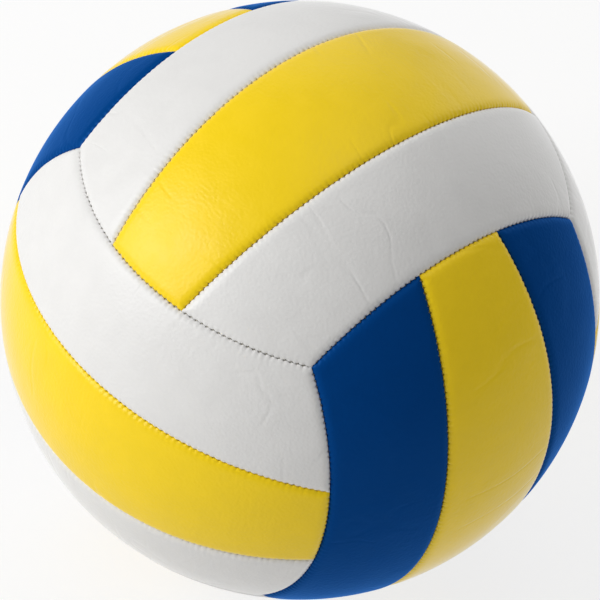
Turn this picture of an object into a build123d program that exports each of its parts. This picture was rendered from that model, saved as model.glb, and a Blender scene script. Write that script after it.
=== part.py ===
"""A size 5 volleyball: eighteen sewn panels with foam backs, a bladder and a needle valve.

Millimetres, +Z up, with the origin at the centre of the ball. The cover is six groups of three
strips. The top and bottom groups run along Y, the front and back ones along X and the right and
left ones along Z, so that the ends of each group meet the long side of the next. Every seam is a
circle on the ball, and the panels' edges turn in along the cone from the ball's centre through it.
"""

import os
from math import acos, asin, cos, degrees, radians, sin, sqrt

from build123d import *

# Cover: the ball, and the middle strip of each group of three
ball_diameter = 210.0
strip_length_share = 0.9267  # of the diameter: over the surface, from seam to seam
strip_waist_share = 0.2424  # straight across, half way along
strip_end_share = 0.1714  # straight across, at its ends

# Panel: a skin with its edges turned in at the seams, over a foam backing
skin_thickness = 1.2
fold_inner_radius = 0.4
seam_allowance = 4.0  # how deep the turned-in edge reaches
seam_gap = 0.2  # between the turned-in edges of two panels
foam_thickness = 2.4
bond_gap = 0.05  # glue line between bonded pieces

# Thread: lies in the groove between the rounded shoulders of two panels
thread_diameter = 0.6
thread_clearance = 0.05
thread_end_gap = 0.8  # from a seam's end to its thread

# Bladder
bladder_wall = 0.9
bladder_clearance = 0.1

# Valve: a housing bonded into the bladder, whose neck comes through the cover, and its plug
valve_recess = 0.3  # how far the valve's face lies below the cover
valve_clearance = 0.15
neck_radius = 3.6
flange_radius = 11.0
flange_thickness = 1.4
patch_radius = 16.0
patch_thickness = 0.8
stem_radius = 5.0
stem_tip_radius = 4.0
stem_length = 14.0  # inwards from the flange
core_head_radius = 2.7
core_head_thickness = 1.0
core_radius = 2.1
core_length = 13.0
bead_radius = 2.6  # the rib that locks the plug in its housing
bead_length = 1.6
bead_depth = 5.0  # from the valve's face to the rib
core_fit_clearance = 0.05
air_hole_radius = 1.2  # from the plug to the inside of the bladder
needle_bore_radius = 1.1
needle_bore_depth = 9.0
needle_mouth_radius = 1.7
needle_mouth_depth = 0.6
slit_width = 0.2  # the cut that closes behind the needle
slit_length = 1.4

overrun = 5.0  # how far cuts run past what they cut
block_reach_share = 0.45  # how far the block of a strip reaches towards the pole of its first seam
block_spread_angle = 10.0  # and how far it runs on past that seam's ends
cut_reach_share = 0.9  # the same for the cuts along the strip's other seams
cut_spread_angle = 55.0

ball_radius = ball_diameter / 2
centre_strip_length = ball_diameter * strip_length_share
centre_strip_waist = ball_diameter * strip_waist_share
centre_strip_end_width = ball_diameter * strip_end_share
shoulder_radius = fold_inner_radius + skin_thickness
lining_depth = max(seam_allowance, skin_thickness + bond_gap + foam_thickness)
bladder_radius = ball_radius - lining_depth - bladder_clearance
patch_outer_radius = bladder_radius - bladder_wall - bond_gap
flange_outer_radius = patch_outer_radius - patch_thickness - bond_gap
valve_face = ball_radius - valve_recess
neck_hole_radius = neck_radius + valve_clearance
centre = Vector(0, 0, 0)


class Seam:
    """A sewn circle through three points on the ball, and the cone that it makes with the centre."""

    def __init__(self, start, middle, end, toward):
        normal = (middle - start).cross(end - start).normalized()
        self.axis = normal if normal.dot(toward) > 0 else -normal
        self.half_angle = degrees(acos(self.axis.dot(middle.normalized())))
        self.outward = (middle - self.axis * self.axis.dot(middle)).normalized()
        foot = self.axis * self.axis.dot(end)
        self.half_sweep = self.outward.get_angle(end - foot)
        self.circle_radius = (end - foot).length

    def plane(self, turn):
        """The plane through the seam's axis, turned about it from the middle of the seam."""
        reach = self.outward.rotate(Axis(centre, self.axis), turn)
        return Plane(centre, x_dir=self.axis, z_dir=self.axis.cross(reach))


# The seams of the top group's right half, whose mirror images and turns are all the others
corner = Vector(1, 1, 1).normalized() * ball_radius
end_angle = centre_strip_length / ball_diameter
end_middle = Vector(0, sin(end_angle), cos(end_angle)) * ball_radius
back_seam = Seam(Vector(-corner.X, corner.Y, corner.Z), end_middle, corner, Vector(0, 0, 1))
front_seam = Seam(
    Vector(-corner.X, -corner.Y, corner.Z),
    Vector(0, -end_middle.Y, end_middle.Z),
    Vector(corner.X, -corner.Y, corner.Z),
    Vector(0, 0, 1),
)
side_seam = Seam(
    Vector(corner.X, -corner.Y, corner.Z),
    Vector(end_middle.Z, 0, end_middle.Y),
    corner,
    Vector(1, 0, 0),
)

# A strip seam ends on the circle of the back seam, half the end width from the middle
strip_end_x = centre_strip_end_width / 2
seam_foot = back_seam.axis * back_seam.axis.dot(corner)
strip_end = seam_foot + back_seam.outward * sqrt(back_seam.circle_radius**2 - strip_end_x**2)
strip_end += Vector(strip_end_x, 0, 0)
waist_x = centre_strip_waist / 2
waist = Vector(waist_x, 0, sqrt(ball_radius**2 - waist_x**2))
right_strip_seam = Seam(
    Vector(strip_end.X, -strip_end.Y, strip_end.Z), waist, strip_end, Vector(1, 0, 0)
)
left_strip_seam = Seam(
    Vector(-strip_end.X, -strip_end.Y, strip_end.Z),
    Vector(-waist.X, 0, waist.Z),
    Vector(-strip_end.X, strip_end.Y, strip_end.Z),
    Vector(-1, 0, 0),
)

# The seams round each kind of strip, and whether the strip lies inside the seam's cone
centre_sides = ((right_strip_seam, False), (left_strip_seam, False), (back_seam, True), (front_seam, True))
side_sides = ((right_strip_seam, True), (side_seam, False), (back_seam, True), (front_seam, True))


def cut_block(seam, inside, setback, inner_radius, outer_radius, mode):
    """A block along a seam, between two radii, with its wall set back into the strip.

    It reaches from the wall over the strip when it is added, and over the next panel when it cuts.
    """
    adding = mode == Mode.ADD
    reach_share = block_reach_share if adding else cut_reach_share
    spread_angle = block_spread_angle if adding else cut_spread_angle
    way = -1 if inside else 1
    side = way if adding else -way
    pole = 0 if side < 0 else 180
    far_edge = seam.half_angle + (pole - seam.half_angle) * reach_share
    outer_edge = seam.half_angle + way * degrees(asin(setback / outer_radius))
    inner_edge = seam.half_angle + way * degrees(asin(setback / inner_radius))
    half_turn = seam.half_sweep + spread_angle
    with BuildSketch(seam.plane(-half_turn)) as profile:
        with BuildLine():
            outer_arc = CenterArc((0, 0), outer_radius, outer_edge, far_edge - outer_edge)
            inner_arc = CenterArc((0, 0), inner_radius, inner_edge, far_edge - inner_edge)
            Line(outer_arc @ 0, inner_arc @ 0)
            Line(outer_arc @ 1, inner_arc @ 1)
        make_face()
    revolve(profile.sketch, axis=Axis(centre, seam.axis), revolution_arc=2 * half_turn, mode=mode)


def cut_strip(sides, setback, inner_radius, outer_radius):
    """A curved strip between its four seams and two radii, set back from the seams."""
    seam, inside = sides[0]
    cut_block(seam, inside, setback, inner_radius, outer_radius, Mode.ADD)
    for seam, inside in sides[1:]:
        cut_block(seam, inside, setback, inner_radius - overrun, outer_radius + overrun, Mode.SUBTRACT)


def round_shoulders(radius):
    """Round the edges of a strip's outer face."""
    outer_face = faces().filter_by(GeomType.SPHERE).sort_by(SortBy.AREA)[-1]
    fillet(outer_face.edges(), radius)


def cut_cavity(sides):
    """The hollow of a panel, between its turned-in edges."""
    floor_radius = ball_radius - seam_allowance - overrun
    setback = seam_gap / 2 + skin_thickness
    cut_strip(sides, setback, floor_radius, ball_radius - skin_thickness)
    round_shoulders(fold_inner_radius)


def cut_skin(sides):
    """The outside of a panel, down to the tips of its turned-in edges."""
    cut_strip(sides, seam_gap / 2, ball_radius - seam_allowance, ball_radius)
    round_shoulders(shoulder_radius)


def cut_foam(sides):
    """The foam backing, which fills the hollow of its panel as far as the fold of the skin."""
    top = ball_radius - skin_thickness - bond_gap
    setback = seam_gap / 2 + skin_thickness + fold_inner_radius
    cut_strip(sides, setback, top - foam_thickness, top)


def sew(seam):
    """A run of thread along a seam, in the groove between the shoulders of its two panels."""
    reach = shoulder_radius + thread_diameter / 2 + thread_clearance
    rise = sqrt(reach**2 - (shoulder_radius + seam_gap / 2) ** 2)
    thread_height = ball_radius - shoulder_radius + rise
    half_run = seam.half_sweep - degrees(thread_end_gap / seam.circle_radius)
    seam_angle = radians(seam.half_angle)
    place = (thread_height * cos(seam_angle), thread_height * sin(seam_angle))
    with BuildSketch(seam.plane(-half_run)) as section:
        with Locations(place):
            Circle(thread_diameter / 2)
    revolve(section.sketch, axis=Axis(centre, seam.axis), revolution_arc=2 * half_run)


# One strip of each kind, and its thread, in the top group
with BuildPart() as centre_cavity:
    cut_cavity(centre_sides)

with BuildPart() as centre_skin:
    cut_skin(centre_sides)
    add(centre_cavity.part, mode=Mode.SUBTRACT)

with BuildPart() as centre_foam:
    cut_foam(centre_sides)

with BuildPart() as side_cavity:
    cut_cavity(side_sides)

with BuildPart() as side_skin:
    cut_skin(side_sides)
    add(side_cavity.part, mode=Mode.SUBTRACT)

with BuildPart() as side_foam:
    cut_foam(side_sides)

with BuildPart() as strip_thread:
    sew(right_strip_seam)

with BuildPart() as end_thread:
    sew(back_seam)

# Each group: which way it faces, which way its first side strip lies, and the names of its two
# side strips and of the groups that its two ends meet
groups = {
    "top": ((0, 0, 1), (1, 0, 0), ("right", "left"), ("back", "front")),
    "bottom": ((0, 0, -1), (1, 0, 0), ("right", "left"), ("front", "back")),
    "front": ((0, -1, 0), (0, 0, 1), ("upper", "lower"), ("left", "right")),
    "back": ((0, 1, 0), (0, 0, 1), ("upper", "lower"), ("right", "left")),
    "right": ((1, 0, 0), (0, 1, 0), ("back", "front"), ("top", "bottom")),
    "left": ((-1, 0, 0), (0, 1, 0), ("back", "front"), ("bottom", "top")),
}
valve_group = "back"

os.makedirs("parts", exist_ok=True)


def save(piece, name):
    piece.part.label = name
    export_step(piece.part, f"parts/{name}.step")


for group, (facing, across, side_names, end_names) in groups.items():
    place = Plane(centre, x_dir=across, z_dir=facing)
    far_place = Plane(centre, x_dir=-Vector(across), z_dir=facing)

    with BuildPart(place) as centre_panel:
        add(centre_skin.part)
        if group == valve_group:
            Hole(neck_hole_radius)
    save(centre_panel, f"{group}_centre_panel")

    with BuildPart(place) as centre_backing:
        add(centre_foam.part)
        if group == valve_group:
            Hole(neck_hole_radius)
    save(centre_backing, f"{group}_centre_foam")

    for side_place, side, end in zip((place, far_place), side_names, end_names):
        with BuildPart(side_place) as side_panel:
            add(side_skin.part)
        save(side_panel, f"{group}_{side}_panel")

        with BuildPart(side_place) as side_backing:
            add(side_foam.part)
        save(side_backing, f"{group}_{side}_foam")

        with BuildPart(side_place) as end_run:
            add(end_thread.part)
        save(end_run, f"{group}_to_{end}_thread")

    with BuildPart(place, far_place) as strip_runs:
        add(strip_thread.part)
    save(strip_runs, f"{group}_strip_threads")

# The bladder, with a hole for the valve's neck
valve_place = Plane(centre, x_dir=(1, 0, 0), z_dir=groups[valve_group][0])
with BuildPart() as bladder:
    Sphere(bladder_radius)
    Sphere(bladder_radius - bladder_wall, mode=Mode.SUBTRACT)
    with BuildSketch(valve_place):
        Circle(neck_hole_radius)
    extrude(amount=bladder_radius + overrun, mode=Mode.SUBTRACT)
save(bladder, "bladder")


def dome(outer_radius, thickness, reach):
    """A round sheet of the given reach, bent to lie inside a sphere, about the valve's axis."""
    with BuildSketch(valve_place) as outline:
        Circle(reach)
    extrude(outline.sketch, amount=outer_radius + overrun)
    Sphere(outer_radius, mode=Mode.INTERSECT)
    Sphere(outer_radius - thickness, mode=Mode.SUBTRACT)


with BuildPart() as valve_patch:
    dome(patch_outer_radius, patch_thickness, patch_radius)
    with BuildSketch(valve_place):
        Circle(neck_hole_radius)
    extrude(amount=ball_radius, mode=Mode.SUBTRACT)
save(valve_patch, "valve_patch")


def turn_core(clearance):
    """The outline of the valve's plug, turned about the valve's axis: head, body and locking rib."""
    head_base = valve_face - core_head_thickness - clearance
    rib_middle = valve_face - bead_depth
    half_rib = bead_length / 2 + clearance
    body = core_radius + clearance
    core_end = valve_face - core_length - clearance
    with BuildSketch() as outline:
        with BuildLine():
            above_rib = (body, rib_middle + half_rib)
            below_rib = (body, rib_middle - half_rib)
            Polyline(
                (0, core_end),
                (0, valve_face),
                (core_head_radius + clearance, valve_face),
                (core_head_radius + clearance, head_base),
                (body, head_base),
                above_rib,
            )
            ThreePointArc(above_rib, (bead_radius + clearance, rib_middle), below_rib)
            Polyline(below_rib, (body, core_end), (0, core_end))
        make_face()
    revolve(outline.sketch, axis=Axis.Y)


with BuildPart() as core_socket:
    turn_core(core_fit_clearance)

with BuildPart() as valve_housing:
    dome(flange_outer_radius, flange_thickness, flange_radius)
    flange_base = flange_outer_radius - flange_thickness
    with BuildSketch(valve_place.offset(flange_base)):
        Circle(neck_radius)
    extrude(amount=valve_face - flange_base)
    stem_tip = flange_base - stem_length
    with BuildSketch():
        with BuildLine():
            Polyline(
                (0, stem_tip),
                (stem_tip_radius, stem_tip),
                (stem_radius, flange_base),
                (0, flange_base),
                close=True,
            )
        make_face()
    revolve(axis=Axis.Y)
    add(core_socket.part, mode=Mode.SUBTRACT)
    with BuildSketch(valve_place.offset(stem_tip - overrun)):
        Circle(air_hole_radius)
    extrude(amount=valve_face - core_length - stem_tip + overrun, mode=Mode.SUBTRACT)
save(valve_housing, "valve_housing")

with BuildPart() as valve_core:
    turn_core(0)
    with BuildSketch():
        with BuildLine():
            Polyline(
                (0, valve_face),
                (needle_mouth_radius, valve_face),
                (needle_bore_radius, valve_face - needle_mouth_depth),
                (needle_bore_radius, valve_face - needle_bore_depth),
                (0, valve_face - needle_bore_depth),
                close=True,
            )
        make_face()
    revolve(axis=Axis.Y, mode=Mode.SUBTRACT)
    with BuildSketch(valve_place.offset(valve_face - needle_bore_depth)):
        Rectangle(slit_length, slit_width)
    extrude(amount=-core_length, mode=Mode.SUBTRACT)
save(valve_core, "valve_core")
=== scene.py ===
"""A size 5 volleyball of eighteen sewn leather strips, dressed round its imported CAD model."""

import math

import bpy
import numpy as np
from mathutils import Matrix, Vector


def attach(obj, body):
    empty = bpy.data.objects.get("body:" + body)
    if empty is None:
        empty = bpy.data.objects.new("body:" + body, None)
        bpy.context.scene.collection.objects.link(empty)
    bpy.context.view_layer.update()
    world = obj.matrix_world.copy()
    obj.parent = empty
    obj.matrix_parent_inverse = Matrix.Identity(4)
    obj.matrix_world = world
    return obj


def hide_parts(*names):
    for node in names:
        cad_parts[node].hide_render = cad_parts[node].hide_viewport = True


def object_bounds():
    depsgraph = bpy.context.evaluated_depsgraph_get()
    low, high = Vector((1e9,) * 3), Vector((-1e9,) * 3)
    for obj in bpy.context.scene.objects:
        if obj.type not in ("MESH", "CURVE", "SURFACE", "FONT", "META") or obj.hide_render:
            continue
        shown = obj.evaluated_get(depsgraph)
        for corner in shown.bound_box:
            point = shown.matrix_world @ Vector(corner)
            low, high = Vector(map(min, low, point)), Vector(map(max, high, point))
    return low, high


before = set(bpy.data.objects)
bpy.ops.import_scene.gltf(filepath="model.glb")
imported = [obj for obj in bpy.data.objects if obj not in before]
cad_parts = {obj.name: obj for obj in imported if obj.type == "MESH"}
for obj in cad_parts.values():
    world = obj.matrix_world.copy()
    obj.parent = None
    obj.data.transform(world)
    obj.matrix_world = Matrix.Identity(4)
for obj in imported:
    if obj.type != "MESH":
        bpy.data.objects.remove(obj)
cad_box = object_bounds()

# Bladder: a hollow ball of butyl rubber that holds the air, dipped or moulded in two halves, with a
# round patch of the same rubber vulcanised inside it where the valve is fixed.
# Soft black rubber, dull from the talc that keeps it from sticking to the foam.
MM = 0.001
rubber_colour = "#1b1b1c"
talc_colour = "#4a4845"
talc_patch = 14.0  # mm across
talc_spread = (0.42, 0.8)  # of the noise, from bare rubber to full talc
grit_width = 0.5  # mm
grit_depth = 0.05
rubber_index = 1.52
bladder_roughness = 0.7


def linear(hex_colour):
    """An sRGB hex colour as linear red, green, blue and alpha."""
    parts = [int(hex_colour[i : i + 2], 16) / 255 for i in (1, 3, 5)]
    return [c / 12.92 if c <= 0.04045 else ((c + 0.055) / 1.055) ** 2.4 for c in parts] + [1.0]


def add_node(tree, kind, links=(), values=(), **settings):
    """Add a node with its settings, socket values and incoming links."""
    made = tree.nodes.new(kind)
    for name, value in settings.items():
        setattr(made, name, value)
    for name, value in dict(values).items():
        made.inputs[name].default_value = value
    for name, source in dict(links).items():
        if isinstance(source, bpy.types.NodeSocket):
            tree.links.new(source, made.inputs[name])
        else:
            made.inputs[name].default_value = source
    return made


def start_material(name):
    """A new material with only its output node, and that node."""
    material = bpy.data.materials.new(name)
    material.use_nodes = True
    material.node_tree.nodes.clear()
    return material, material.node_tree, add_node(material.node_tree, "ShaderNodeOutputMaterial")


def rubber(name, colour, dust_colour, roughness):
    """Moulded rubber with a dusty bloom in soft patches and a fine moulded grit."""
    material, tree, output = start_material(name)
    place = add_node(tree, "ShaderNodeTexCoord").outputs["Object"]
    patches = {"Scale": 1 / (talc_patch * MM), "Detail": 5.0}
    cloud = add_node(tree, "ShaderNodeTexNoise", {"Vector": place}, patches)
    dust = add_node(tree, "ShaderNodeValToRGB", {"Fac": cloud.outputs["Fac"]})
    for stop, position, shade in zip(dust.color_ramp.elements, talc_spread, (colour, dust_colour)):
        stop.position = position
        stop.color = linear(shade)
    grains = {"Scale": 1 / (grit_width * MM), "Detail": 2.0}
    grit = add_node(tree, "ShaderNodeTexNoise", {"Vector": place}, grains)
    bump = add_node(
        tree,
        "ShaderNodeBump",
        {"Height": grit.outputs["Fac"]},
        {"Strength": 0.25, "Distance": grit_depth * MM},
    )
    shader = add_node(
        tree,
        "ShaderNodeBsdfPrincipled",
        {"Base Color": dust.outputs["Color"], "Normal": bump.outputs["Normal"]},
        {"Roughness": roughness, "IOR": rubber_index},
    )
    tree.links.new(shader.outputs["BSDF"], output.inputs["Surface"])
    return material


butyl_rubber = rubber("butyl_rubber", rubber_colour, talc_colour, bladder_roughness)
for name in ("bladder", "valve_patch"):
    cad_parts[name].data.materials.clear()
    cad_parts[name].data.materials.append(butyl_rubber)

# Valve: a moulded rubber housing bonded through the bladder, and the plug that is pushed into it.
# Denser, cleaner rubber than the bladder, with a faint shine where fingers and needles rub it.
valve_colour = "#262628"
valve_worn_colour = "#3a3a3c"
valve_roughness = 0.48
valve_rubber = rubber("moulded_valve_rubber", valve_colour, valve_worn_colour, valve_roughness)
for name in ("valve_housing", "valve_core"):
    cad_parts[name].data.materials.clear()
    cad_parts[name].data.materials.append(valve_rubber)

# Panels: eighteen strips of PVC leather in six groups of three, laced into each other round the
# ball. Each strip's edge is turned in and sewn to its neighbour from the inside, so that the
# leather rolls over into a tight seam, with a small pucker and a pit at every stitch.
ball_radius = 105.0  # mm, as are all lengths down to the meshes
strip_length = 194.6  # over the surface, from seam to seam
strip_waist = 50.9  # straight across, half way along
strip_end = 36.0  # straight across, at its ends
skin_thickness = 1.2
seam_allowance = 4.0  # how deep the turned-in edge reaches
seam_half_gap = 0.1  # below the lips of the seam
roll_depth = 1.1  # how far the leather sinks towards a seam
roll_width = 5.0  # how far in from the seam that starts
roll_curve = 4  # the higher, the more of the roll lies close to the seam
roll_merge = 4  # the higher, the less the rolls of two seams add up in a corner
lip_radius = 0.12  # how round the leather's edge is between two stitches
pit_radius = 0.3  # and at one
lip_gap = 0.015  # half the opening of the seam between two stitches
pit_gap = 0.5  # and at one
pit_length = 0.33  # along the seam, from the middle of a pit
pit_fade = 2.0  # how far in from the seam a pit moves the leather
stitch_pitch = 2.2
stitch_slant = 0.22  # how far the two ends of a stitch are moved along the seam, each way
stitch_taper = 2.0  # how far from a seam's end its stitches come to their full depth
stitch_pull = (0.55, 1.25)  # how hard the loosest and the tightest stitch pull
pull_overrun = 5.0  # how far past a seam's ends the pulls are drawn
pucker_depth = 0.45
pucker_reach = 0.9  # how far in from the seam a pucker dies away
hem_steps = ((0.1, 0.35), (0.4, 0.9))  # below the lip: share of the way to the wall, and drop
hem_wall_depth = 2.9  # from the ball's surface to where the wall is upright
hem_inner_drop = 0.5  # from the lining to the top of the inner wall
lining_setback = 0.4  # from the inner wall to the lining
valve_hole_radius = 3.75
valve_lip_radius = 0.8
valve_roll_depth = 0.25
valve_roll_width = 4.0
valve_roll_curve = 3


def unit(vectors):
    vectors = np.asarray(vectors, float)
    return vectors / np.linalg.norm(vectors, axis=-1, keepdims=True)


def soft_step(x):
    x = np.clip(x, 0, 1)
    return x * x * (3 - 2 * x)


class Seam:
    """A sewn circle on the ball, through three directions from its centre."""

    def __init__(self, start, middle, end, toward):
        axis = unit(np.cross(middle - start, end - start))
        self.axis = axis if axis @ toward > 0 else -axis
        self.angle = math.acos(self.axis @ middle)
        self.outward = unit(middle - self.axis * (self.axis @ middle))
        self.onward = np.cross(self.axis, self.outward)
        self.radius = ball_radius * math.sin(self.angle)
        self.half_run = abs(self.measure(end)[1])

    def point(self, run, distance):
        """Directions to points that far along the seam, and that far outside its circle."""
        angle = np.broadcast_to(self.angle + distance / ball_radius, np.shape(run))[..., None]
        turn = np.asarray(run / self.radius)[..., None]
        rim = np.cos(turn) * self.outward + np.sin(turn) * self.onward
        return np.cos(angle) * self.axis + np.sin(angle) * rim

    def measure(self, directions):
        """How far directions lie outside the circle, and how far along it."""
        distance = (np.arccos(np.clip(directions @ self.axis, -1, 1)) - self.angle) * ball_radius
        turn = np.arctan2(directions @ self.onward, directions @ self.outward)
        return distance, turn * self.radius


# The seams of the top group, whose turns are all the others
corner = unit([1, 1, 1])
flip_x, flip_y = np.array([-1, 1, 1]), np.array([1, -1, 1])
up, rightward = np.array([0, 0, 1]), np.array([1, 0, 0])
end_angle = strip_length / (2 * ball_radius)
end_middle = np.array([0, math.sin(end_angle), math.cos(end_angle)])
back_seam = Seam(corner * flip_x, end_middle, corner, up)
front_seam = Seam(corner * flip_x * flip_y, end_middle * flip_y, corner * flip_y, up)
side_middle = np.array([end_middle[2], 0, end_middle[1]])
side_seam = Seam(corner * flip_y, side_middle, corner, rightward)
half_end = math.asin(strip_end / 2 / back_seam.radius) * back_seam.radius
end_point = back_seam.point(np.array([half_end]), 0.0)[0]
end_point = end_point if end_point[0] > 0 else end_point * flip_x
half_waist = strip_waist / 2 / ball_radius
waist = np.array([half_waist, 0, math.sqrt(1 - half_waist**2)])
right_seam = Seam(end_point * flip_y, waist, end_point, rightward)
left_seam = Seam(end_point * flip_x * flip_y, waist * flip_x, end_point * flip_x, -rightward)

# A strip's left, right, front and back seams, each with +1 where the strip lies outside the circle
centre_strip = ((left_seam, 1), (right_seam, 1), (front_seam, -1), (back_seam, -1))
side_strip = ((right_seam, -1), (side_seam, 1), (front_seam, -1), (back_seam, -1))


def meet(first, second, setback, near):
    """The direction where two seams of a strip cross, once each is set back into the strip."""
    (seam_a, way_a), (seam_b, way_b) = first, second
    cos_a = math.cos(seam_a.angle + way_a * setback / ball_radius)
    cos_b = math.cos(seam_b.angle + way_b * setback / ball_radius)
    both = seam_a.axis @ seam_b.axis
    share_a = (cos_a - both * cos_b) / (1 - both**2)
    share_b = (cos_b - both * cos_a) / (1 - both**2)
    flat = share_a * seam_a.axis + share_b * seam_b.axis
    across = unit(np.cross(seam_a.axis, seam_b.axis))
    rise = across * math.sqrt(1 - flat @ flat)
    return flat + rise if (flat + rise) @ near > (flat - rise) @ near else flat - rise


def find_corners(strip, setback):
    """The directions of a strip's four corners, by the two seams that meet there."""
    left, right, front, back = strip
    corners = {}
    for one in (left, right):
        for other, lean in ((front, -1), (back, 1)):
            corners[one, other] = meet(one, other, setback, np.array([0, lean, 1.0]))
    return corners


def draw_outline(strip, shares_across, shares_along, setback, opening=None):
    """Directions along a strip's front, back, left and right edges, set back from the seams."""
    left, right, front, back = strip
    corners = find_corners(strip, setback)

    def edge(side, start, end, shares):
        seam, way = side
        first, last = seam.measure(start)[1], seam.measure(end)[1]
        run = first + (last - first) * shares
        back_by = np.full(len(run), setback)
        if opening is not None:
            ends = soft_step(np.minimum(shares, 1 - shares) * abs(last - first) / stitch_taper)
            back_by = lip_gap + (opening(side, run) - lip_gap) * ends
        return seam.point(run, way * back_by)

    return (
        edge(front, corners[left, front], corners[right, front], shares_across),
        edge(back, corners[left, back], corners[right, back], shares_across),
        edge(left, corners[left, front], corners[left, back], shares_along),
        edge(right, corners[right, front], corners[right, back], shares_along),
    )


def border(strip, shares_across, shares_along, setback):
    """Directions once round a strip, anticlockwise as seen from outside the ball."""
    front, back, left, right = draw_outline(strip, shares_across, shares_along, setback)
    return np.concatenate([front[:-1], right[:-1], back[:0:-1], left[:0:-1]])


def fill_outline(outline, shares_across, shares_along):
    """A grid of directions between four edges."""
    front, back, left, right = outline
    u, v = shares_across[:, None, None], shares_along[None, :, None]
    blend = (1 - v) * front[:, None] + v * back[:, None] + (1 - u) * left[None] + u * right[None]
    ends = (1 - u) * (1 - v) * front[0] + u * (1 - v) * front[-1]
    ends = ends + (1 - u) * v * back[0] + u * v * back[-1]
    return unit(blend - ends)


def rim(grid):
    """The border of a grid, anticlockwise as seen from outside the ball."""
    return np.concatenate([grid[:-1, 0], grid[-1, :-1], grid[:0:-1, -1], grid[0, :0:-1]])


lines_in_stitch = 5
edge_lines = np.array([0, 0.05, 0.12, 0.22, 0.36, 0.55, 0.8, 1.1, 1.45, 1.85])  # mm in from an edge


def rule_lines(seam, start, end):
    """Shares along an edge: lines at the same places in each stitch, closer ones at its ends."""
    first, last = seam.measure(start)[1], seam.measure(end)[1]
    length, spacing = abs(last - first), stitch_pitch / lines_in_stitch
    low = min(first, last)
    numbers = np.arange(math.floor(low / spacing), math.ceil((low + length) / spacing))
    marks = (numbers + 0.5) * spacing - low
    clear = edge_lines[-1] + spacing / 2
    marks = marks[(marks > clear) & (marks < length - clear)]
    lines = np.concatenate([edge_lines, marks, length - edge_lines[::-1]]) / length
    return lines if first < last else 1 - lines[::-1]


def near_stitch(side, run):
    """How far it is along a seam to the nearest stitch, as moved along by the stitches' slant."""
    seam, way = side
    return (run + way * stitch_slant + stitch_pitch / 2) % stitch_pitch - stitch_pitch / 2


def pit_share(side, run, pull):
    """About 1 in the pit of a stitch, by how hard that one is pulled, and 0 between two."""
    return np.interp(run, *pull) * np.exp(-((near_stitch(side, run) / pit_length) ** 2))


def pucker_share(side, run):
    """1 at a stitch, 0 half way between two."""
    return 0.5 + 0.5 * np.cos(2 * math.pi * near_stitch(side, run) / stitch_pitch)


def quarter_round(distance, radius):
    """How far a rounded edge lies below the face beside it."""
    over = np.maximum(radius - distance, 0)
    return radius - np.sqrt(radius**2 - over**2)


def sink_leather(strip, directions, pulls, valve):
    """How far the leather lies below the round of the ball, from its seams, stitches and valve."""
    spans = [side[0].measure(directions) for side in strip]
    inward = [np.maximum(side[1] * span[0], 0) for side, span in zip(strip, spans)]
    total = np.zeros(directions.shape[:-1])
    for i, side in enumerate(strip):
        away, run = inward[i], spans[i][1]
        roll = roll_depth * np.clip(1 - away / roll_width, 0, 1) ** roll_curve
        others = inward[2:] if i < 2 else inward[:2]
        ends = soft_step(np.minimum(others[0], others[1]) / stitch_taper)
        pucker = pucker_depth * np.interp(run, *pulls[i]) * ends * pucker_share(side, run)
        pucker = pucker * np.exp(-away / pucker_reach)
        pit = ends * pit_share(side, run, pulls[i])
        from_lip = away - lip_gap - (pit_gap - lip_gap) * pit
        fold = quarter_round(np.maximum(from_lip, 0), lip_radius + (pit_radius - lip_radius) * pit)
        total += (roll + fold + pucker) ** roll_merge
    total = total ** (1 / roll_merge)
    if valve:
        from_axis = np.hypot(directions[..., 0], directions[..., 1]) * ball_radius
        away = np.maximum(from_axis - valve_hole_radius, 0)
        roll = valve_roll_depth * np.clip(1 - away / valve_roll_width, 0, 1) ** valve_roll_curve
        near = directions[..., 2] > 0
        total = total + near * (roll + quarter_round(away, valve_lip_radius))
    return total


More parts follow.
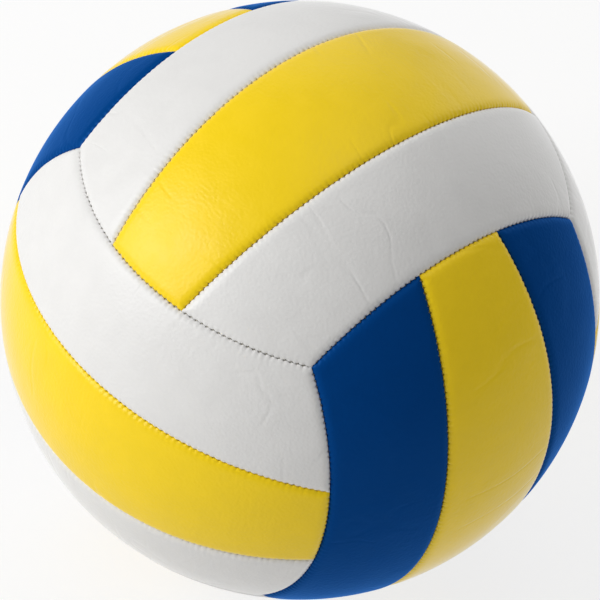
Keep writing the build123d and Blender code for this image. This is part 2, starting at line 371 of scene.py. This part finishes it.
class Shell:
    """Vertices and faces of one closed mesh, in millimetres, as it is put together."""

    def __init__(self):
        self.points, self.faces, self.count = [], [], 0

    def add(self, points):
        """Add points in any arrangement, and give back their numbers in the same one."""
        numbers = np.arange(self.count, self.count + points[..., 0].size).reshape(points.shape[:-1])
        self.points.append(points.reshape(-1, 3))
        self.count += numbers.size
        return numbers

    def pave(self, grid, inward=False, skip=None):
        """Faces over a grid of numbers, but for a block of cells (u0, u1, v0, v1)."""
        cells = np.stack([grid[:-1, :-1], grid[1:, :-1], grid[1:, 1:], grid[:-1, 1:]], -1)
        keep = np.ones(cells.shape[:2], bool)
        if skip:
            keep[skip[0] : skip[1], skip[2] : skip[3]] = False
        quads = cells[keep]
        self.faces.extend((quads[:, ::-1] if inward else quads).tolist())

    def skirt(self, upper, lower, marks=None):
        """Faces from a closed ring to the next, which meets it at marks if it has fewer points."""
        marks = np.arange(len(upper)) if marks is None else marks
        for i, mark in enumerate(marks):
            after = marks[(i + 1) % len(marks)]
            count = (after - mark) % len(upper)
            span = [upper[(mark + k) % len(upper)] for k in range(count + 1)]
            self.faces.append([span[0], lower[i], lower[(i + 1) % len(lower)]] + span[:0:-1])

    def build(self, name, turn, shift=(0, 0, 0)):
        """An object of the mesh, turned into place. It keeps each point's first place, shifted."""
        mesh = bpy.data.meshes.new(name)
        flat = np.concatenate(self.points) * MM
        points = flat @ np.asarray(turn).T
        sizes = np.array([len(face) for face in self.faces])
        corners = np.concatenate([np.array(face) for face in self.faces])
        mesh.vertices.add(len(points))
        mesh.vertices.foreach_set("co", points.ravel())
        mesh.loops.add(int(sizes.sum()))
        mesh.loops.foreach_set("vertex_index", corners)
        mesh.polygons.add(len(sizes))
        mesh.polygons.foreach_set("loop_start", np.concatenate([[0], np.cumsum(sizes)[:-1]]))
        mesh.update(calc_edges=True)
        mesh.shade_smooth()
        place = mesh.attributes.new("strip_place", "FLOAT_VECTOR", "POINT")
        place.data.foreach_set("vector", (flat + np.asarray(shift)).ravel())
        made = bpy.data.objects.new(name, mesh)
        bpy.context.scene.collection.objects.link(made)
        return made


lining_step = 8  # the lining side has one line for so many of the face's
valve_lines = 16  # lines from the valve's axis to the square round its hole, each way
valve_rings = 8


def thin_out(lines):
    """Every so many of some lines' numbers, and the last."""
    few = np.arange(0, len(lines) - lining_step // 2, lining_step)
    return np.append(few, len(lines) - 1)


def valve_circle(square):
    """Directions to the rim of the valve's hole, one for each point of a square round it."""
    angle = np.arctan2(square[:, 1], square[:, 0])
    reach = valve_hole_radius / ball_radius
    rise = np.full(len(angle), math.sqrt(1 - reach**2))
    return np.stack([np.cos(angle) * reach, np.sin(angle) * reach, rise], -1)


def edge_fade(shares, edge):
    """1 at the start of an edge, down to 0 past the closer lines there."""
    length = ball_radius * np.linalg.norm(np.diff(edge, axis=0), axis=1).sum()
    return soft_step(1 - shares * length / pit_fade)


def shape_panel(strip, rng, valve):
    """One leather strip: its face, its turned-in edges and its lining side."""
    shell = Shell()
    left, right, front, back = strip
    corners = find_corners(strip, lip_gap)
    across = rule_lines(back[0], corners[left, back], corners[right, back])
    along = rule_lines(left[0], corners[left, front], corners[left, back])
    pulls = []
    for seam, _ in strip:
        reach = seam.half_run + pull_overrun
        spots = np.arange(-reach, reach, stitch_pitch)
        pulls.append((spots, rng.uniform(*stitch_pull, len(spots))))

    def opening(side, run):
        return lip_gap + (pit_gap - lip_gap) * pit_share(side, run, pulls[strip.index(side)])

    plain = draw_outline(strip, across, along, lip_gap)
    pitted = draw_outline(strip, across, along, lip_gap, opening)
    front_pits, back_pits, left_pits, right_pits = [pit - edge for pit, edge in zip(pitted, plain)]
    near_front, near_back = [edge_fade(v, plain[2])[None, :, None] for v in (along, 1 - along)]
    near_left, near_right = [edge_fade(u, plain[1])[:, None, None] for u in (across, 1 - across)]
    directions = fill_outline(plain, across, along)
    directions = directions + near_front * front_pits[:, None] + near_back * back_pits[:, None]
    directions = unit(directions + near_left * left_pits[None] + near_right * right_pits[None])
    depth = sink_leather(strip, directions, pulls, valve)
    face = shell.add(directions * (ball_radius - depth)[..., None])

    # Down the turned-in edge, round its tip and up to the lining side
    lip, lip_depth = rim(directions), rim(depth)
    wall = border(strip, across, along, seam_half_gap)
    rings = [rim(face)]
    for share, drop in hem_steps:
        ring = unit(lip + (wall - lip) * share)
        rings.append(shell.add(ring * (ball_radius - lip_depth - drop)[:, None]))
    rings.append(shell.add(wall * (ball_radius - hem_wall_depth)))
    rings.append(shell.add(wall * (ball_radius - seam_allowance)))
    for upper, lower in zip(rings, rings[1:]):
        shell.skirt(upper, lower)
    few_u, few_v = thin_out(across), thin_out(along)
    numbers = np.zeros(face.shape, int)
    numbers[rim(np.indices(face.shape)[0]), rim(np.indices(face.shape)[1])] = np.arange(len(lip))
    marks = rim(numbers[np.ix_(few_u, few_v)])
    few_across, few_along = across[few_u], along[few_v]
    inner_setback = seam_half_gap + skin_thickness
    inner_wall = border(strip, few_across, few_along, inner_setback)
    tip = shell.add(inner_wall * (ball_radius - seam_allowance))
    shell.skirt(rings[-1], tip, marks)
    under_fold = shell.add(inner_wall * (ball_radius - skin_thickness - hem_inner_drop))
    shell.skirt(tip, under_fold)
    lining_outline = draw_outline(strip, few_across, few_along, inner_setback + lining_setback)
    lining_directions = fill_outline(lining_outline, few_across, few_along)
    lining = shell.add(lining_directions * (ball_radius - skin_thickness))
    shell.skirt(under_fold, rim(lining))
    if not valve:
        shell.pave(face)
        shell.pave(lining, inward=True)
        return shell

    # The hole for the valve: rings from a square of the face's lines in to a round lip
    middle_u, middle_v = few_u[len(few_u) // 2], few_v[len(few_v) // 2]
    u0, u1 = middle_u - valve_lines, middle_u + valve_lines
    v0, v1 = middle_v - valve_lines, middle_v + valve_lines
    shell.pave(face, skip=(u0, u1, v0, v1))
    block_sides = ((few_u, u0), (few_u, u1), (few_v, v0), (few_v, v1))
    few_block = [int(np.searchsorted(few, line)) for few, line in block_sides]
    shell.pave(lining, inward=True, skip=few_block)
    square = rim(directions[u0 : u1 + 1, v0 : v1 + 1])[::-1]
    circle = valve_circle(square)
    rings = [rim(face[u0 : u1 + 1, v0 : v1 + 1])[::-1]]
    for share in np.sin(np.arange(1, valve_rings + 1) * math.pi / 2 / valve_rings):
        ring = unit(square + (circle - square) * share)
        ring_depth = sink_leather(strip, ring, pulls, valve)
        rings.append(shell.add(ring * (ball_radius - ring_depth)[:, None]))
    rings.append(shell.add(circle * (ball_radius - skin_thickness)))
    for upper, lower in zip(rings, rings[1:]):
        shell.skirt(upper, lower)
    block = rim(lining[few_block[0] : few_block[1] + 1, few_block[2] : few_block[3] + 1])[::-1]
    shell.skirt(rings[-1], block, np.arange(len(block)) * lining_step)
    return shell


# PVC leather: a vinyl face embossed with a fine leather grain over a fabric back. A soft satin
# shine that breaks up in the grain, and a few faint creases where the strips were stretched.
white_leather_colour = "#e0dfdd"
white_gloss_colour = "#ffffff"
yellow_leather_colour = "#f6d200"
yellow_gloss_colour = "#fff9ed"
blue_leather_colour = "#003a7a"
blue_gloss_colour = "#4a8ce0"
leather_index = 1.45
leather_roughness = (0.36, 0.46)
mottle_spread = (0.3, 0.7)  # of the noise, from the darker and smoother spots to the lighter ones
mottle_shade = 0.97
grain_width = 1.1  # mm; real grain is about half as wide, and is drawn coarser so that it shows
grain_depth = 0.08
wrinkle_depth = 0.1
wrinkle_cover = (0.5, 0.66)  # of the noise, from where there are none to where they are full
fold_depth = 0.1
fold_cover = (0.52, 0.64)
fold_line = (0.0, 0.04)  # of the noise, from the middle of a fold to its edge
noise_middle = 0.5
swell_depth = 0.06
# Each pattern's width along the strip and its length across it in mm, and its detail
leather_patterns = {
    "mottle": (9.0, 9.0, 4.0),
    "wrinkles": (2.0, 22.0, 2.0),
    "wrinkle_patches": (42.0, 42.0, 1.0),
    "folds": (16.0, 70.0, 1.0),
    "fold_patches": (34.0, 34.0, 1.0),
    "swell": (26.0, 26.0, 3.0),
}


def pvc_leather(name, colour, gloss_colour):
    """Leather of one colour, whose shine keeps a little of that colour."""
    material, tree, output = start_material(name)
    place = add_node(tree, "ShaderNodeAttribute", attribute_name="strip_place").outputs["Vector"]
    noise = {}
    for pattern, (width, length, detail) in leather_patterns.items():
        stretch = {"Scale": (width / length, 1.0, 1.0)}
        drawn = add_node(tree, "ShaderNodeMapping", {"Vector": place}, stretch).outputs["Vector"]
        values = {"Scale": 1 / (width * MM), "Detail": detail}
        soft = add_node(tree, "ShaderNodeTexNoise", {"Vector": drawn}, values)
        noise[pattern] = soft.outputs["Fac"]

    shade = add_node(tree, "ShaderNodeValToRGB", {"Fac": noise["mottle"]})
    for stop, position, share in zip(shade.color_ramp.elements, mottle_spread, (mottle_shade, 1.0)):
        stop.position = position
        stop.color = [c * share for c in linear(colour)[:3]] + [1.0]

    # Pebbled grain, patches of fine wrinkles all one way, a few longer folds and a slow swell
    size = {"Scale": 1 / (grain_width * MM)}
    pebbles = add_node(
        tree, "ShaderNodeTexVoronoi", {"Vector": place}, size, feature="SMOOTH_F1"
    ).outputs["Distance"]
    winding = add_node(
        tree, "ShaderNodeMath", {0: noise["folds"], 1: noise_middle}, operation="SUBTRACT"
    ).outputs["Value"]
    off_fold = add_node(tree, "ShaderNodeMath", {0: winding}, operation="ABSOLUTE").outputs["Value"]
    eased = {}
    for step, value, (low, high), (first, last) in (
        ("roughness", noise["mottle"], mottle_spread, leather_roughness),
        ("wrinkled", noise["wrinkle_patches"], wrinkle_cover, (0.0, 1.0)),
        ("folded", noise["fold_patches"], fold_cover, (0.0, 1.0)),
        ("beside_fold", off_fold, fold_line, (0.0, 1.0)),
    ):
        values = {"From Min": low, "From Max": high, "To Min": first, "To Max": last}
        kind = {"interpolation_type": "SMOOTHSTEP"}
        made = add_node(tree, "ShaderNodeMapRange", {"Value": value}, values, **kind)
        eased[step] = made.outputs["Result"]
    wrinkles = add_node(
        tree, "ShaderNodeMath", {0: noise["wrinkles"], 1: eased["wrinkled"]}, operation="MULTIPLY"
    ).outputs["Value"]
    folds = add_node(
        tree, "ShaderNodeMath", {0: eased["beside_fold"], 1: eased["folded"]}, operation="MULTIPLY"
    ).outputs["Value"]
    under = {}
    for height, depth in (
        (pebbles, grain_depth),
        (wrinkles, wrinkle_depth),
        (folds, fold_depth),
        (noise["swell"], swell_depth),
    ):
        links = {"Height": height, **under}
        pressed = add_node(tree, "ShaderNodeBump", links, {"Distance": depth * MM})
        under = {"Normal": pressed.outputs["Normal"]}

    body = add_node(
        tree,
        "ShaderNodeBsdfPrincipled",
        {"Base Color": shade.outputs["Color"], "Roughness": eased["roughness"], **under},
        {"IOR": leather_index, "Specular IOR Level": 0.0},
    )
    shine = add_node(
        tree,
        "ShaderNodeBsdfGlossy",
        {"Roughness": eased["roughness"], **under},
        {"Color": linear(gloss_colour)},
    )
    share = add_node(tree, "ShaderNodeFresnel", under, {"IOR": leather_index})
    both = add_node(
        tree,
        "ShaderNodeMixShader",
        {0: share.outputs["Fac"], 1: body.outputs["BSDF"], 2: shine.outputs["BSDF"]},
    )
    tree.links.new(both.outputs["Shader"], output.inputs["Surface"])
    return material


leathers = {
    "white_leather": pvc_leather("white_pvc_leather", white_leather_colour, white_gloss_colour),
    "yellow_leather": pvc_leather("yellow_pvc_leather", yellow_leather_colour, yellow_gloss_colour),
    "blue_leather": pvc_leather("blue_pvc_leather", blue_leather_colour, blue_gloss_colour),
}

# Which way each group faces, which way its first side strip lies, its side strips and what its ends
# meet, and the leather of its side strips
groups = {
    "top": ((0, 0, 1), (1, 0, 0), ("right", "left"), ("back", "front"), "white_leather"),
    "bottom": ((0, 0, -1), (1, 0, 0), ("right", "left"), ("front", "back"), "white_leather"),
    "front": ((0, -1, 0), (0, 0, 1), ("upper", "lower"), ("left", "right"), "white_leather"),
    "back": ((0, 1, 0), (0, 0, 1), ("upper", "lower"), ("right", "left"), "white_leather"),
    "right": ((1, 0, 0), (0, 1, 0), ("back", "front"), ("top", "bottom"), "blue_leather"),
    "left": ((-1, 0, 0), (0, 1, 0), ("back", "front"), ("bottom", "top"), "blue_leather"),
}
valve_group = "back"


def turns_of(facing, across):
    """How the top group, and the top group the other way round, turn to a group's place."""
    facing, across = np.array(facing, float), np.array(across, float)
    near = np.stack([across, np.cross(facing, across), facing], 1)
    return near, near @ np.diag([-1.0, -1.0, 1.0])


def dress(piece, material, node):
    piece.data.materials.append(material)
    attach(piece, "root")
    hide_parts(node)


stitch_luck = np.random.default_rng(5)
sheet_luck = np.random.default_rng(3)  # each strip comes from another place on its sheet of leather
sheet_reach = 0.5  # metres
for group, (facing, across, side_names, _, side_leather) in groups.items():
    near, far = turns_of(facing, across)
    strips = [("centre", centre_strip, near, "yellow_leather")]
    for side, turn in zip(side_names, (near, far)):
        strips.append((side, side_strip, turn, side_leather))
    for part, strip, turn, leather in strips:
        shell = shape_panel(strip, stitch_luck, group == valve_group and part == "centre")
        shift = sheet_luck.uniform(-sheet_reach, sheet_reach, 3)
        panel = shell.build(f"{group}_{part}_leather", turn, shift)
        dress(panel, leathers[leather], f"{group}_{part}_panel")

# Foam backing: a pad of soft polyurethane foam glued inside each panel, which fills out the
# leather. Cut from sheet, with soft edges. Off white, with open cells that look like fine sponge;
# the pits of the cells are darkened with painted shade.
foam_colour = "#e0d8c0"
# darker colour for the middle of each cell: painted shade in the pits of the open cells
foam_pit_shade_colour = "#b5ab90"
foam_cell_width = 0.7
foam_cell_depth = 0.2
foam_roughness = 0.95
foam_index = 1.45
foam_setback = 1.7  # from the seam to the pad's edge, inside the turned-in leather
foam_top_depth = 1.25
foam_thickness = 2.4
foam_edge_radius = 0.6
foam_edge_angles = (30, 60, 90, 90, 60, 30)  # degrees, over the upper edge and under the lower one
foam_lines_across, foam_lines_along = 24, 72
foam_hole_lines = 3


def shape_foam(strip, valve):
    """One foam pad with rounded edges, and the valve's hole where it has one."""
    shell = Shell()
    across = np.linspace(0, 1, foam_lines_across + 1)
    along = np.linspace(0, 1, foam_lines_along + 1)
    bottom_depth = foam_top_depth + foam_thickness
    outline = draw_outline(strip, across, along, foam_setback + foam_edge_radius)
    directions = fill_outline(outline, across, along)
    upper = shell.add(directions * (ball_radius - foam_top_depth))
    lower = shell.add(directions * (ball_radius - bottom_depth))
    rings = [rim(upper)]
    for angle in np.radians(foam_edge_angles):
        ring = border(strip, across, along, foam_setback + foam_edge_radius * (1 - math.sin(angle)))
        drop = foam_edge_radius * (1 - math.cos(angle))
        upper_edge = len(rings) <= len(foam_edge_angles) // 2
        depth = foam_top_depth + drop if upper_edge else bottom_depth - drop
        rings.append(shell.add(ring * (ball_radius - depth)))
    rings.append(rim(lower))
    block = None
    if valve:
        u0, v0 = foam_lines_across // 2 - foam_hole_lines, foam_lines_along // 2 - foam_hole_lines
        block = (u0, u0 + 2 * foam_hole_lines, v0, v0 + 2 * foam_hole_lines)
        inside = (slice(u0, block[1] + 1), slice(v0, block[3] + 1))
        circle = valve_circle(rim(directions[inside])[::-1])
        hole = [rim(upper[inside])[::-1], shell.add(circle * (ball_radius - foam_top_depth))]
        hole += [shell.add(circle * (ball_radius - bottom_depth)), rim(lower[inside])[::-1]]
        for higher, deeper in zip(hole, hole[1:]):
            shell.skirt(higher, deeper)
    for higher, deeper in zip(rings, rings[1:]):
        shell.skirt(higher, deeper)
    shell.pave(upper, skip=block)
    shell.pave(lower, inward=True, skip=block)
    return shell


open_foam, tree, output = start_material("open_cell_polyurethane_foam")
place = add_node(tree, "ShaderNodeTexCoord").outputs["Object"]
size = {"Scale": 1 / (foam_cell_width * MM)}
cells = add_node(tree, "ShaderNodeTexVoronoi", {"Vector": place}, size)
# Darker towards the middle of each cell, where the bump sinks it into a pit: painted shade
shade = add_node(tree, "ShaderNodeValToRGB", {"Fac": cells.outputs["Distance"]})
shade.color_ramp.elements[0].color = linear(foam_pit_shade_colour)
shade.color_ramp.elements[1].color = linear(foam_colour)
bump = add_node(
    tree,
    "ShaderNodeBump",
    {"Height": cells.outputs["Distance"]},
    {"Strength": 0.6, "Distance": foam_cell_depth * MM},
)
shader = add_node(
    tree,
    "ShaderNodeBsdfPrincipled",
    {"Base Color": shade.outputs["Color"], "Normal": bump.outputs["Normal"]},
    {"Roughness": foam_roughness, "IOR": foam_index},
)
tree.links.new(shader.outputs["BSDF"], output.inputs["Surface"])

for group, (facing, across, side_names, _, _) in groups.items():
    near, far = turns_of(facing, across)
    pads = [("centre", centre_strip, near)]
    pads += [(side, side_strip, turn) for side, turn in zip(side_names, (near, far))]
    for part, strip, turn in pads:
        shell = shape_foam(strip, group == valve_group and part == "centre")
        pad = shell.build(f"{group}_{part}_foam_pad", turn)
        dress(pad, open_foam, f"{group}_{part}_foam")

# Seam thread: twisted polyester, sewn from the inside. One thread runs along each seam and crosses
# it at every stitch, so that from outside only short slanted bars show in the pits of the leather.
thread_colour = "#dcd6c6"
# darker colour between the strands: painted shade in the grooves of the twist
strand_groove_shade_colour = "#b9b2a0"
thread_roughness = 0.6
thread_index = 1.54
thread_sheen = 0.2
thread_radius = 0.24
thread_half_width = 1.25  # from the seam to a stitch's foot
thread_top_depth = 1.9
thread_foot_depth = 2.8
thread_arch = 1.6  # how round a stitch is between its feet
thread_end_gap = 2.0
thread_lean_share = 0.35  # how much of its half width a stitch takes to lean all its slant
thread_shares = (-1.0, -0.6, -0.25, 0.0, 0.25, 0.6, 1.0)  # of the half width, from foot to foot
thread_sides = 6
strand_twist = 0.5  # mm along the thread for each turn of its strands
strand_depth = 0.08
# the low end of the noise, between two strands, takes the painted shade
strand_spread = (0.35, 0.65)  # of the noise, from between two strands to the top of one


def lay_thread(seam):
    """The path of one thread, as directions and depths, from stitch to stitch."""
    stitches = math.floor((seam.half_run - thread_end_gap) / stitch_pitch)
    path = []
    for k in range(-stitches, stitches + 1):
        way = 1 if k % 2 else -1
        for share in thread_shares:
            lean = max(-1.0, min(1.0, share / thread_lean_share))
            run = k * stitch_pitch - way * lean * stitch_slant
            drop = abs(share) ** thread_arch
            depth = thread_top_depth + (thread_foot_depth - thread_top_depth) * drop
            direction = seam.point(np.array([run]), way * share * thread_half_width)[0]
            path.append(direction * (ball_radius - depth))
    return np.array(path)


def wrap_thread(shell, path):
    """A round thread along a path, with closed ends."""
    onward = unit(np.gradient(path, axis=0))
    outward = unit(path)
    beside = unit(np.cross(onward, outward))
    above = np.cross(beside, onward)
    angles = np.arange(thread_sides) * 2 * math.pi / thread_sides
    sideways, upwards = np.cos(angles)[None, :, None], np.sin(angles)[None, :, None]
    round_it = sideways * beside[:, None] + upwards * above[:, None]
    tube = shell.add(path[:, None] + thread_radius * round_it)
    for ring, following in zip(tube, tube[1:]):
        for i in range(thread_sides):
            j = (i + 1) % thread_sides
            shell.faces.append([ring[i], following[i], following[j], ring[j]])
    shell.faces.append(list(tube[0]))
    shell.faces.append(list(tube[-1][::-1]))


polyester_thread, tree, output = start_material("twisted_polyester_thread")
place = add_node(tree, "ShaderNodeTexCoord").outputs["Object"]
strands = add_node(
    tree,
    "ShaderNodeTexNoise",
    {"Vector": place},
    {"Scale": 1 / (strand_twist * MM), "Detail": 2.0},
)
# Darker between the strands, where the bump sinks: painted shade; lighter on their tops
shade = add_node(tree, "ShaderNodeValToRGB", {"Fac": strands.outputs["Fac"]})
strand_colours = (strand_groove_shade_colour, thread_colour)
for stop, position, colour in zip(shade.color_ramp.elements, strand_spread, strand_colours):
    stop.position = position
    stop.color = linear(colour)
bump = add_node(
    tree,
    "ShaderNodeBump",
    {"Height": strands.outputs["Fac"]},
    {"Strength": 0.5, "Distance": strand_depth * MM},
)
shader = add_node(
    tree,
    "ShaderNodeBsdfPrincipled",
    {"Base Color": shade.outputs["Color"], "Normal": bump.outputs["Normal"]},
    {"Roughness": thread_roughness, "IOR": thread_index, "Sheen Weight": thread_sheen},
)
tree.links.new(shader.outputs["BSDF"], output.inputs["Surface"])

for group, (facing, across, _, end_names, _) in groups.items():
    near, far = turns_of(facing, across)
    both_runs = Shell()
    for seam in (right_seam, left_seam):
        wrap_thread(both_runs, lay_thread(seam))
    stitches = both_runs.build(f"{group}_strip_stitches", near)
    dress(stitches, polyester_thread, f"{group}_strip_threads")
    for end, turn in zip(end_names, (near, far)):
        one_run = Shell()
        wrap_thread(one_run, lay_thread(back_seam))
        stitches = one_run.build(f"{group}_to_{end}_stitches", turn)
        dress(stitches, polyester_thread, f"{group}_to_{end}_thread")

# Floor: a wide sheet of white paper under the ball. White to the eye and in gloss, and it still
# takes the ball's shadow.
floor_reach = 3.0  # metres
floor_colour = "#fcfcfc"
floor_whiteness = 0.76  # how much of what is seen is plain white; the rest is light and shadow
mesh = bpy.data.meshes.new("paper_floor")
floor_height = cad_box[0][2]
floor_corners = ((-1, -1), (1, -1), (1, 1), (-1, 1))
mesh.from_pydata(
    [(x * floor_reach, y * floor_reach, floor_height) for x, y in floor_corners],
    [],
    [(0, 1, 2, 3)],
)
floor = bpy.data.objects.new("paper_floor", mesh)
bpy.context.scene.collection.objects.link(floor)
white_paper, tree, output = start_material("white_paper")
matt_white = {"Color": linear(floor_colour), "Roughness": 1.0}
paper = add_node(tree, "ShaderNodeBsdfDiffuse", (), matt_white)
glow = add_node(tree, "ShaderNodeEmission", (), {"Color": (1.0, 1.0, 1.0, 1.0), "Strength": 1.0})
# The rays that see it white: the camera's, and those of gloss and of clear pieces
rays = add_node(tree, "ShaderNodeLightPath").outputs
white_rays = rays["Is Camera Ray"]
for kind in ("Is Glossy Ray", "Is Transmission Ray"):
    pair = {0: white_rays, 1: rays[kind]}
    white_rays = add_node(tree, "ShaderNodeMath", pair, operation="MAXIMUM").outputs["Value"]
whiteness = {"To Min": 0.0, "To Max": floor_whiteness}
seen = add_node(tree, "ShaderNodeMapRange", {"Value": white_rays}, whiteness)
sheet = add_node(tree, "ShaderNodeMixShader", {"Fac": seen.outputs["Result"]})
tree.links.new(paper.outputs["BSDF"], sheet.inputs[1])
tree.links.new(glow.outputs["Emission"], sheet.inputs[2])
tree.links.new(sheet.outputs["Shader"], output.inputs["Surface"])
floor.data.materials.append(white_paper)

# Light: a plain studio tent. A dim even surround, one large soft box at the front left that gives
# most of the light, and three weaker ones above and behind that keep the far side from going dark.
surround_level = 0.35
lamp_distance = 1.1  # metres
# Each soft box: the way to it from the ball, its width in metres and its power in watts
soft_boxes = {
    "key_soft_box": ((-0.42, -0.76, 0.49), 0.65, 8.6),
    "top_soft_box": ((0.02, 0.23, 0.97), 0.7, 1.4),
    "left_back_soft_box": ((-0.71, 0.54, 0.45), 0.7, 1.5),
    "back_soft_box": ((-0.09, 0.93, 0.36), 0.7, 1.7),
}
world = bpy.data.worlds.new("studio_tent")
world.use_nodes = True
bpy.context.scene.world = world
tree = world.node_tree
tree.nodes.clear()
white_tent = {"Color": (1.0, 1.0, 1.0, 1.0), "Strength": surround_level}
tent = add_node(tree, "ShaderNodeBackground", (), white_tent)
output = add_node(tree, "ShaderNodeOutputWorld")
tree.links.new(tent.outputs["Background"], output.inputs["Surface"])
bpy.context.scene.view_settings.view_transform = "Standard"
for name, (direction, width, power) in soft_boxes.items():
    lamp = bpy.data.lights.new(name, "AREA")
    lamp.shape = "SQUARE"
    lamp.size = width
    lamp.energy = power
    hung = bpy.data.objects.new(name, lamp)
    away = Vector(direction).normalized()
    hung.location = away * lamp_distance
    hung.rotation_euler = away.to_track_quat("Z", "Y").to_euler()
    bpy.context.scene.collection.objects.link(hung)

# Camera: a long lens, high at the front right, tipped a little on its side.
view_azimuth = math.radians(39.228)  # from the front towards the right
view_elevation = math.radians(47.079)
view_roll = math.radians(12.434)
view_distance = 1.719  # metres
view_lens = 293.9  # mm
sensor_width = 36.0
camera_data = bpy.data.cameras.new("studio_camera")
camera_data.lens = view_lens
camera_data.sensor_width = sensor_width
camera = bpy.data.objects.new("studio_camera", camera_data)
bpy.context.scene.collection.objects.link(camera)
level = Vector((math.cos(view_azimuth), math.sin(view_azimuth), 0))
toward = Vector(
    (
        math.cos(view_elevation) * math.sin(view_azimuth),
        -math.cos(view_elevation) * math.cos(view_azimuth),
        math.sin(view_elevation),
    )
)
upright = toward.cross(level)
right = level * math.cos(view_roll) + upright * math.sin(view_roll)
camera.matrix_world = Matrix.Translation(toward * view_distance) @ Matrix(
    (right, toward.cross(right), toward)
).transposed().to_4x4()
bpy.context.scene.camera = camera
